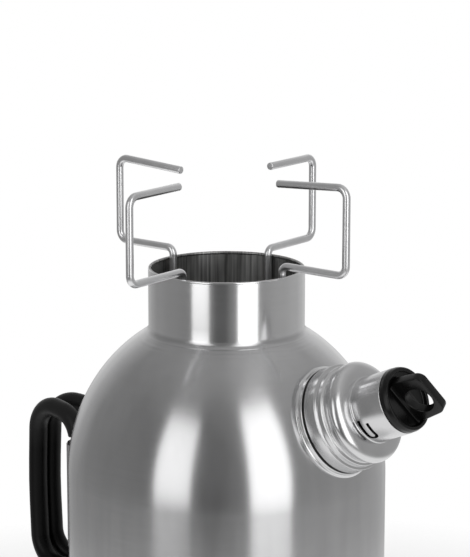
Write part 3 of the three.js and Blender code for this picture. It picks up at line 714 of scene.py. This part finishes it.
for i in range(tongue["count"]):
    combine(spoutHead, slitCutter(tongue["angle"] + 360 / tongue["count"] * i))
placeOnSpout(spoutHead)
smoothPiece()
print("spout done")

# stopper: a ribbed plug under a rimmed cap, and a pull tab with a round hole
stopper = {"rim": 17.8, "rimHeight": 4.8, "taper": 0.7, "rimWall": 2.6, "recess": 2.2,
           "low": 132.7, "shank": 16.6, "shankLength": 16, "lead": 3, "rib": 0.7, "ribs": 4,
           "tabWidth": 29, "tabOffset": 0.6, "tabHeight": 19.6, "tabThick": 5.5, "tabCorner": 5,
           "tabTaper": 1.7, "tabHole": 7.6, "holeOffset": 1.7, "holeHeight": 9.6,
           "tabTurn": 32.5, "edge": 0.7, "footWidth": 26.4, "footThick": 10.4,
           "footHeight": 1.5, "footEdge": 0.5, "sunk": 1}
capTop = stopper["low"] + stopper["rimHeight"]
capFloor = capTop - stopper["recess"]
plugTip = stopper["low"] - stopper["shankLength"]
ribStep = (stopper["shankLength"] - stopper["lead"]) / stopper["ribs"]
ribRoot = stopper["shank"] - stopper["rib"]
corners = [(0, plugTip, 0), (stopper["shank"] - stopper["lead"], plugTip, 0.8)]
for i in range(stopper["ribs"]):
    start = plugTip + stopper["lead"] + ribStep * i
    corners += [(stopper["shank"], start, 0.5), (stopper["shank"], start + ribStep * 0.5, 0.4),
                (ribRoot, start + ribStep * 0.7, 0.3)]
corners += [
    (ribRoot, stopper["low"], 0.3),
    (stopper["rim"], stopper["low"], 0.6),
    (stopper["rim"], stopper["low"] + stopper["rimHeight"] / 2, 1),
    (stopper["rim"] - stopper["taper"], capTop, 0.8),
    (stopper["rim"] - stopper["rimWall"], capTop, 0.6),
    (stopper["rim"] - stopper["rimWall"] - 0.4, capFloor, 0.8),
    (0, capFloor, 0)]
capOutline = softOutline(corners, closed=False)
stopperCap = placeOnSpout(spinPiece("stopperCap", capOutline, steps=112, closed=False))


def tabBox(name, width, thick, height):  # a block that stands a little sunk in the cap's floor
    middle = stopper["tabOffset"]
    return boxPiece(name, (middle - width / 2, -thick / 2, capFloor - stopper["sunk"]),
                    (middle + width / 2, thick / 2, capFloor + height))


stopperTab = tabBox("stopperTab", stopper["tabWidth"], stopper["tabThick"], stopper["tabHeight"])
tabTop = (capFloor + stopper["tabHeight"]) * mm
bpy.ops.object.mode_set(mode="EDIT")
pick("EDGE", lambda edge: abs(edge.verts[0].co.x - edge.verts[1].co.x) < mergeGap
     and min(vert.co.z for vert in edge.verts) > tabTop - mm)  # the two upper corners
bpy.ops.mesh.bevel(offset=stopper["tabCorner"] * mm, segments=8, affect="EDGES")
roundLow = tabTop - (stopper["tabCorner"] + 0.1) * mm
pick("FACE", lambda face: min(vert.co.z for vert in face.verts) > roundLow)
narrow = 1 - stopper["tabTaper"] * 2 / stopper["tabWidth"]
bpy.ops.transform.resize(value=(narrow, 1, 1),
                         center_override=(stopper["tabOffset"] * mm, 0, tabTop))
bpy.ops.object.mode_set(mode="OBJECT")
holeMiddle = (stopper["holeOffset"], 0, capFloor + stopper["holeHeight"])
combine(stopperTab, barPiece("tabHoleCutter", stopper["tabHole"], 20, holeMiddle, (0, 1, 0), 56))
roundEdges(stopperTab, stopper["edge"], 4)
tabFoot = tabBox("tabFoot", stopper["footWidth"], stopper["footThick"], stopper["footHeight"])
roundEdges(tabFoot, stopper["footEdge"])
combine(stopperTab, tabFoot, "UNION")
smoothPiece(50)
stopperTab.rotation_euler = (0, 0, math.radians(stopper["tabTurn"]))
applyPlace()
placeOnSpout(stopperTab)
print("stopper done")

# handle: a sheet bracket with two rolled barrels, bushes, bent rods and sleeves
handle = {"barrelX": -105, "barrelY": 11.6, "barrelRadius": 6.9, "barrelWall": 1.2,
          "low": 133.5, "high": 196.5, "sheet": 1.5, "footInner": 90.3, "footSunk": 2,
          "footSpan": 28, "legReach": 18, "legInset": 0.12, "bushLength": 14, "flange": 0.9,
          "flangeRadius": 6.4, "gap": 0.3, "rod": 3, "sleeve": 5.6, "gripX": -144.6,
          "gripY": 5.8, "bow": 2.2, "bowRadius": 300, "shoulder": 47, "top": 51,
          "shoulderBend": 16, "topBend": 17, "rodGap": 5, "sleeveShare": 0.14,
          "sleeveEnd": 0.9, "cutLength": 90}
middleHeight = (handle["low"] + handle["high"]) / 2
upright = (0, 0, 1)


def barrelMiddle(way):
    return handle["barrelX"], way * handle["barrelY"], middleHeight


bracket = sectorPiece("handleBracket", handle["footInner"] - handle["footSunk"],
                      handle["footInner"] + handle["sheet"], handle["low"], handle["high"],
                      180, handle["footSpan"], 24)
for way in (-1, 1):  # a leg stays just inside its barrel's outer face, which keeps the joint clean
    outer = way * (handle["barrelY"] + handle["barrelRadius"] - handle["legInset"])
    inner = outer - way * (handle["barrelWall"] - 2 * handle["legInset"])
    leg = boxPiece("leg", (handle["barrelX"], min(inner, outer), handle["low"]),
                   (handle["barrelX"] + handle["legReach"], max(inner, outer), handle["high"]))
    combine(bracket, leg, "UNION")
    barrel = barPiece("barrel", handle["barrelRadius"], handle["high"] - handle["low"],
                      barrelMiddle(way), upright, 64)
    combine(bracket, barrel, "UNION")
combine(bracket, barPiece("shellCutter", handle["footInner"], handle["cutLength"],
                          (0, 0, middleHeight), upright, 256))
for way in (-1, 1):
    combine(bracket, barPiece("boreCutter", handle["barrelRadius"] - handle["barrelWall"],
                              handle["cutLength"], barrelMiddle(way), upright, 64))
weldPoints(bracket)
smoothPiece(50)


def bushPiece(name, way, end):  # end is 1 at the barrel's top and -1 at its bottom
    face = handle["high"] if end > 0 else handle["low"]
    inner = handle["rod"] + handle["gap"]
    outer = handle["barrelRadius"] - handle["barrelWall"] - handle["gap"]
    deep = face - end * handle["bushLength"]
    seat = face + end * handle["gap"]
    lip = seat + end * handle["flange"]
    outline = softOutline([
        (inner, deep, 0.3), (outer, deep, 0.3), (outer, seat, 0),
        (handle["flangeRadius"], seat, 0.25), (handle["flangeRadius"], lip, 0.35),
        (inner, lip, 0.3)])
    piece = spinPiece(name, outline, steps=48)
    piece.location = (handle["barrelX"] * mm, way * handle["barrelY"] * mm, 0)
    applyPlace()
    return piece


def loopCorners(way):  # up out of the barrel, over to the bowed grip, down and back in
    barrelPoint = Vector(barrelMiddle(way))
    gripPoint = Vector((handle["gripX"], way * handle["gripY"], middleHeight))
    bow = (gripPoint - barrelPoint).normalized() * handle["bow"]
    up = Vector(upright)
    return [(barrelPoint + up * handle["rodGap"] / 2, 0),
            (barrelPoint + up * handle["shoulder"], handle["shoulderBend"]),
            (gripPoint - bow + up * handle["top"], handle["topBend"]),
            (gripPoint, handle["bowRadius"]),
            (gripPoint - bow - up * handle["top"], handle["topBend"]),
            (barrelPoint - up * handle["shoulder"], handle["shoulderBend"]),
            (barrelPoint - up * handle["rodGap"] / 2, 0)]


bushes = {}
rods = {}
sleeves = {}
for label, way in (("Left", 1), ("Right", -1)):
    bushes[label] = [bushPiece("bushUpper" + label, way, 1),
                     bushPiece("bushLower" + label, way, -1)]
    rods[label] = bendPiece("handleRod" + label, loopCorners(way), handle["rod"], 24)
    sleeves[label] = bendPiece("handleSleeve" + label, loopCorners(way), handle["sleeve"], 32,
                               handle["sleeveShare"], handle["sleeveEnd"], 5)
print("handle done")

# pot supports: two bent wires that hang crosswise in the neck, arms measured from its rim
wire = {"radius": 2.12, "leg": 39.55, "rim": 314.8, "rimBend": 4, "bend": 5.5, "sides": 20,
        "endRound": 0.35, "stepAngle": 9}
supports = {
    "Lower": {"reach": 85, "offset": -0.95, "end": 42.1, "arm": 4.5, "height": 47.3,
              "drop": 0, "turn": 93.5, "bar": 278.8},
    "Upper": {"reach": 81.7, "offset": 1.6, "end": 34.9, "arm": 6.3, "height": 48,
              "drop": 2.8, "turn": 0, "bar": 283.2},
}


def halfSupport(shape, way):  # from an arm's free end down to the bar inside the neck
    arm = wire["rim"] + shape["arm"]
    reach = way * shape["reach"] + shape["offset"]
    end = way * shape["end"] + shape["offset"]
    leg = way * wire["leg"]
    return [((end, 0, arm + shape["height"] - shape["drop"]), 0),
            ((reach, 0, arm + shape["height"]), wire["bend"]),
            ((reach, 0, arm), wire["bend"]),
            ((leg, 0, arm), wire["rimBend"]),
            ((leg, 0, shape["bar"]), wire["bend"])]


potSupports = {}
for label, shape in supports.items():
    turn = Matrix.Rotation(math.radians(shape["turn"]), 3, "Z")
    halves = halfSupport(shape, 1) + halfSupport(shape, -1)[::-1]
    route = [(turn @ Vector(point), bend) for point, bend in halves]
    potSupports[label] = bendPiece("potSupport" + label, route, wire["radius"], wire["sides"], 0,
                                   wire["endRound"], wire["stepAngle"])
print("pot supports done")

# looks: fine, coarse and patches are the sizes of a finish's spots along X, Y and Z
looks = {
    "shell": {"light": (0.64, 0.64, 0.645), "dark": (0.55, 0.55, 0.555), "rough": (0.2, 0.26),
              "fine": (26, 26, 0.3), "coarse": (9, 9, 90), "patches": (24, 24, 60),
              "coarseShare": 0.55, "relief": 0.025, "depth": 0.02, "stretch": 0.8},
    "bowl": {"light": (0.60, 0.60, 0.60), "dark": (0.43, 0.42, 0.41), "rough": (0.26, 0.38),
             "fine": (24, 24, 0.3), "coarse": (60, 60, 1.6), "patches": (16, 16, 26),
             "coarseShare": 0.35, "relief": 0.05, "depth": 0.02, "stretch": 0.6},
    "neck": {"light": (0.86, 0.86, 0.865), "dark": (0.80, 0.80, 0.805), "rough": (0.15, 0.2),
             "fine": (22, 22, 0.2), "coarse": (60, 60, 1.6), "patches": (26, 26, 16),
             "coarseShare": 0.5, "relief": 0.03, "depth": 0.02, "stretch": 0.4},
    "spout": {"light": (0.75, 0.75, 0.755), "dark": (0.69, 0.69, 0.695), "rough": (0.2, 0.28),
              "fine": (12, 12, 0.4), "coarse": (14, 14, 10), "patches": (10, 10, 9),
              "coarseShare": 0.6, "relief": 0.02, "depth": 0.02},
    "tube": {"light": (0.30, 0.295, 0.29), "dark": (0.13, 0.125, 0.12), "rough": (0.30, 0.5),
             "fine": (0.9, 0.9, 60), "coarse": (5, 5, 150), "patches": (26, 26, 40),
             "coarseShare": 0.5, "relief": 0.12, "depth": 0.05},
    "bracket": {"light": (0.66, 0.66, 0.665), "dark": (0.56, 0.56, 0.57), "rough": (0.26, 0.34),
                "fine": (0.3, 0.3, 20), "coarse": (1.5, 1.5, 40), "patches": (9, 9, 12),
                "coarseShare": 0.4, "relief": 0.06, "depth": 0.02},
    "wire": {"light": (0.92, 0.92, 0.925), "dark": (0.82, 0.82, 0.83), "rough": (0.27, 0.33),
             "fine": (4, 4, 4), "coarse": (9, 9, 9), "patches": (20, 20, 20),
             "coarseShare": 0.5, "relief": 0.004, "depth": 0.01},
    "seal": {"light": (0.0035, 0.0035, 0.0035), "dark": (0.0015, 0.0015, 0.0015),
             "rough": (0.24, 0.34), "fine": (0.25, 0.25, 0.25), "patches": (5, 5, 5),
             "relief": 0.05, "depth": 0.02, "ior": 1.4},
    "sleeve": {"light": (0.002, 0.002, 0.002), "dark": (0.0008, 0.0008, 0.0008),
               "rough": (0.34, 0.44), "fine": (0.3, 0.3, 0.3), "patches": (8, 8, 30),
               "relief": 0.05, "depth": 0.02, "ior": 1.28,
               # painted sheen: the grey below is laid on each sleeve's upper bend, between the two
               # heights, in place of light from above
               "paintedSheen": (0.02, 0.02, 0.02), "paintedSheenFrom": 186, "paintedSheenTo": 200},
    "bush": {"light": (0.012, 0.012, 0.012), "dark": (0.008, 0.008, 0.008),
             "rough": (0.4, 0.52), "fine": (0.4, 0.4, 0.4), "patches": (4, 4, 4),
             "relief": 0.08, "depth": 0.02, "ior": 1.42},
}
soot = {"radius": 43.4, "streaks": (1.1, 1.1, 60), "patches": (9, 9, 45),
        "dark": (0.16, 0.16, 0.16), "light": (0.62, 0.62, 0.61), "rough": (0.3, 0.45)}
foot = {"from": filletStart - 1.6, "to": filletStart + 0.3, "colour": (0.6, 0.6, 0.605),
        "rough": 0.25}
shellFinish = steelFinish("brushedShell", looks["shell"])
bowlFinish = steelFinish("brushedBowl", looks["bowl"])
neckFinish = sootInside(brushedFoot(steelFinish("polishedNeck", looks["neck"]), foot), soot)
spoutFinish = steelFinish("polishedSpout", looks["spout"], (0, 0, spout["rise"] * mm),
                          (0, spoutTurn, 0))
tubeFinish = steelFinish("sootedTube", looks["tube"])
bracketFinish = steelFinish("satinBracket", looks["bracket"])
wireFinish = steelFinish("drawnWire", looks["wire"])
sealFinish = rubberFinish("matSilicone", looks["seal"])
sleeveFinish = rubberFinish("satinSleeve", looks["sleeve"])
bushFinish = rubberFinish("mouldedBush", looks["bush"])

takePlace(shell, "kettle", ["body_shell"], shellFinish)
takePlace(chimneyNeck, "kettle", ["chimney_neck"], neckFinish)
takePlace(fireTube, "kettle", ["fire_tube"], tubeFinish)
takePlace(baseRing, "kettle", ["base_ring"], bowlFinish)
takePlace(fireBowl, "fire_base", ["fire_bowl"], bowlFinish)
takePlace(spoutCollar, "kettle", ["spout_collar"], spoutFinish)
takePlace(spoutGasket, "pouring_head", ["spout_gasket"], sealFinish)
takePlace(spoutHead, "pouring_head", ["spout_head"], spoutFinish)
takePlace(stopperCap, "stopper", ["spout_stopper"], sealFinish)
takePlace(stopperTab, "stopper", ["spout_stopper"], sealFinish)
takePlace(bracket, "kettle", ["handle_bracket"], bracketFinish)
for label in ("Left", "Right"):
    loop = label.lower()
    upper, lower = bushes[label]
    takePlace(upper, "kettle", ["handle_bush_upper_" + loop], bushFinish)
    takePlace(lower, "kettle", ["handle_bush_lower_" + loop], bushFinish)
    takePlace(rods[label], "handle_loop_" + loop, ["handle_rod_" + loop],
              wireFinish)
    takePlace(sleeves[label], "handle_loop_" + loop, ["handle_grip_" + loop],
              sleeveFinish)
for label, piece in potSupports.items():
    where = label.lower()
    takePlace(piece, where + "_pot_support", ["pot_support_" + where], wireFinish)
print("finishes done")

# floor: a pale disc that fades out into the backdrop; its sizes are in metres
stageSet = {"floor": 0.56, "fadeFrom": 0.34, "fadeTo": 0.54, "floorColour": (0.86, 0.86, 0.86),
            "floorGlow": 0.62, "mirrorGlow": 0.85}


def mirrorRays(tree, rays):  # 1 for what metal and glass show, 0 for anything else
    return mathNode(tree, rays.outputs["Is Glossy Ray"], rays.outputs["Is Transmission Ray"],
                    "MAXIMUM")


clearSelection()
bpy.ops.mesh.primitive_circle_add(vertices=128, radius=stageSet["floor"], fill_type="NGON")
floor = nameActive("floor")
floorFinish = bpy.data.materials.new("paleFloor")
floorFinish.use_nodes = True
tree = floorFinish.node_tree
tree.nodes.clear()
coords = tree.nodes.new("ShaderNodeTexCoord")
length = tree.nodes.new("ShaderNodeVectorMath")
length.operation = "LENGTH"
tree.links.new(coords.outputs["Object"], length.inputs[0])
fade = remap(tree, length.outputs["Value"], 0, 1, stageSet["fadeFrom"], stageSet["fadeTo"])
diffuse = tree.nodes.new("ShaderNodeBsdfDiffuse")
diffuse.inputs["Color"].default_value = (*stageSet["floorColour"], 1)
glow = tree.nodes.new("ShaderNodeEmission")
glow.inputs["Strength"].default_value = 1
rays = tree.nodes.new("ShaderNodeLightPath")
seen = mathNode(tree, mathNode(tree, rays.outputs["Is Camera Ray"], stageSet["floorGlow"]),
                mathNode(tree, mirrorRays(tree, rays), stageSet["mirrorGlow"]), "MAXIMUM")
lit = tree.nodes.new("ShaderNodeMixShader")
tree.links.new(seen, lit.inputs["Fac"])
tree.links.new(diffuse.outputs["BSDF"], lit.inputs[1])
tree.links.new(glow.outputs["Emission"], lit.inputs[2])
clear = tree.nodes.new("ShaderNodeBsdfTransparent")
faded = tree.nodes.new("ShaderNodeMixShader")
tree.links.new(fade, faded.inputs["Fac"])
tree.links.new(lit.outputs["Shader"], faded.inputs[1])
tree.links.new(clear.outputs["BSDF"], faded.inputs[2])
output = tree.nodes.new("ShaderNodeOutputMaterial")
tree.links.new(faded.outputs["Shader"], output.inputs["Surface"])
floor.data.materials.append(floorFinish)

# two tall softboxes; turn and halfWidth are degrees round the object from the camera's side,
# low, high and distance are metres
softboxes = {
    "softboxLeft": {"turn": -38.2, "halfWidth": 13.4, "low": -0.25, "high": 2.0,
                    "distance": 2.2, "lean": 8, "level": 1.38},
    "softboxRight": {"turn": 31.0, "halfWidth": 15.0, "low": -0.5, "high": 2.7,
                     "distance": 2.2, "lean": 8, "level": 1.62},
}
for name, box in softboxes.items():
    clearSelection()
    angle = math.radians(view["azimuth"] + box["turn"])
    lean = math.radians(box["lean"])
    width = 2 * box["distance"] * math.tan(math.radians(box["halfWidth"]))
    height = (box["high"] - box["low"]) / math.cos(lean)
    middle = (box["low"] + box["high"]) / 2
    away = box["distance"] - (middle - view["target"] * mm) * math.tan(lean)
    bpy.ops.object.light_add(type="AREA", rotation=(math.pi / 2 - lean, 0, angle),
                             location=(away * math.sin(angle), -away * math.cos(angle), middle))
    lamp = bpy.context.object
    lamp.name = name
    lamp.data.shape = "RECTANGLE"
    lamp.data.size = width
    lamp.data.size_y = height
    lamp.data.energy = box["level"] * math.pi * width * height
    lamp.visible_camera = False

# room: levels by direction, each a list of (place from 0 to 1, level)
room = {
    "depth": [(0.0, 0.17), (0.5, 0.235), (0.75, 0.27), (1.0, 0.32)],  # camera's side to far side
    "side": [(0.0, 1.0), (0.47, 0.95), (0.56, 1.15), (0.68, 1.4), (1.0, 1.45)],  # left to right
    "height": [(0.0, 1.0), (0.78, 1.05), (0.9, 1.3), (0.98, 1.7)],
    "backdrop": [(0.76, 0.0), (0.88, 0.22), (0.95, 0.5), (1.0, 0.75)],  # white, far side only
    "backdropHeight": [(0.32, 0.1), (0.40, 0.35), (0.46, 0.9), (0.50, 1.0), (0.75, 1.0),
                       (0.95, 0.0)],
    "flagSide": [(0.33, 0.0), (0.37, 0.45), (0.49, 0.45), (0.54, 0.15), (0.58, 0.0)],
    "flagHeight": [(0.30, 0.0), (0.36, 1.0), (0.45, 1.0), (0.51, 0.0)],  # a dark patch, low
    "flagDepth": [(0.15, 1.0), (0.35, 0.0)],
}
world = bpy.data.worlds.new("studio")
bpy.context.scene.world = world
world.use_nodes = True
tree = world.node_tree
tree.nodes.clear()
coords = tree.nodes.new("ShaderNodeTexCoord")
mapping = tree.nodes.new("ShaderNodeMapping")
mapping.inputs["Rotation"].default_value = (0, 0, -math.radians(view["azimuth"]))
tree.links.new(coords.outputs["Generated"], mapping.inputs["Vector"])
split = tree.nodes.new("ShaderNodeSeparateXYZ")
tree.links.new(mapping.outputs["Vector"], split.inputs["Vector"])
sideShare, depthShare, heightShare = [remap(tree, split.outputs[axis], 0, 1, -1, 1)
                                      for axis in ("X", "Y", "Z")]


def levelRamp(tree, value, stops):
    ramp = tree.nodes.new("ShaderNodeValToRGB")
    ramp.color_ramp.interpolation = "EASE"
    while len(ramp.color_ramp.elements) < len(stops):
        ramp.color_ramp.elements.new(0.5)
    for element, (position, level) in zip(ramp.color_ramp.elements, stops):
        element.position = position
        element.color = (level, level, level, 1)
    tree.links.new(value, ramp.inputs["Fac"])
    return ramp.outputs["Color"]


dim = mathNode(tree, levelRamp(tree, depthShare, room["depth"]),
               levelRamp(tree, sideShare, room["side"]))
dim = mathNode(tree, dim, levelRamp(tree, heightShare, room["height"]))
flag = mathNode(tree, levelRamp(tree, sideShare, room["flagSide"]),
                levelRamp(tree, heightShare, room["flagHeight"]))
flag = mathNode(tree, flag, levelRamp(tree, depthShare, room["flagDepth"]))
dim = mathNode(tree, dim, mathNode(tree, 1, flag, "SUBTRACT"))
backdrop = mathNode(tree, levelRamp(tree, depthShare, room["backdrop"]),
                    levelRamp(tree, heightShare, room["backdropHeight"]))
studio = tree.nodes.new("ShaderNodeBackground")
studio.inputs["Strength"].default_value = 1
tree.links.new(dim, studio.inputs["Color"])
white = tree.nodes.new("ShaderNodeBackground")
white.inputs["Color"].default_value = (1, 1, 1, 1)
white.inputs["Strength"].default_value = 1
rays = tree.nodes.new("ShaderNodeLightPath")
shown = mathNode(tree, rays.outputs["Is Camera Ray"],
                 mathNode(tree, mirrorRays(tree, rays), backdrop), "MAXIMUM")
choice = tree.nodes.new("ShaderNodeMixShader")
tree.links.new(shown, choice.inputs["Fac"])
tree.links.new(studio.outputs["Background"], choice.inputs[1])
tree.links.new(white.outputs["Background"], choice.inputs[2])
output = tree.nodes.new("ShaderNodeOutputWorld")
tree.links.new(choice.outputs["Shader"], output.inputs["Surface"])
bpy.context.scene.view_settings.view_transform = "Standard"
print("stage done")
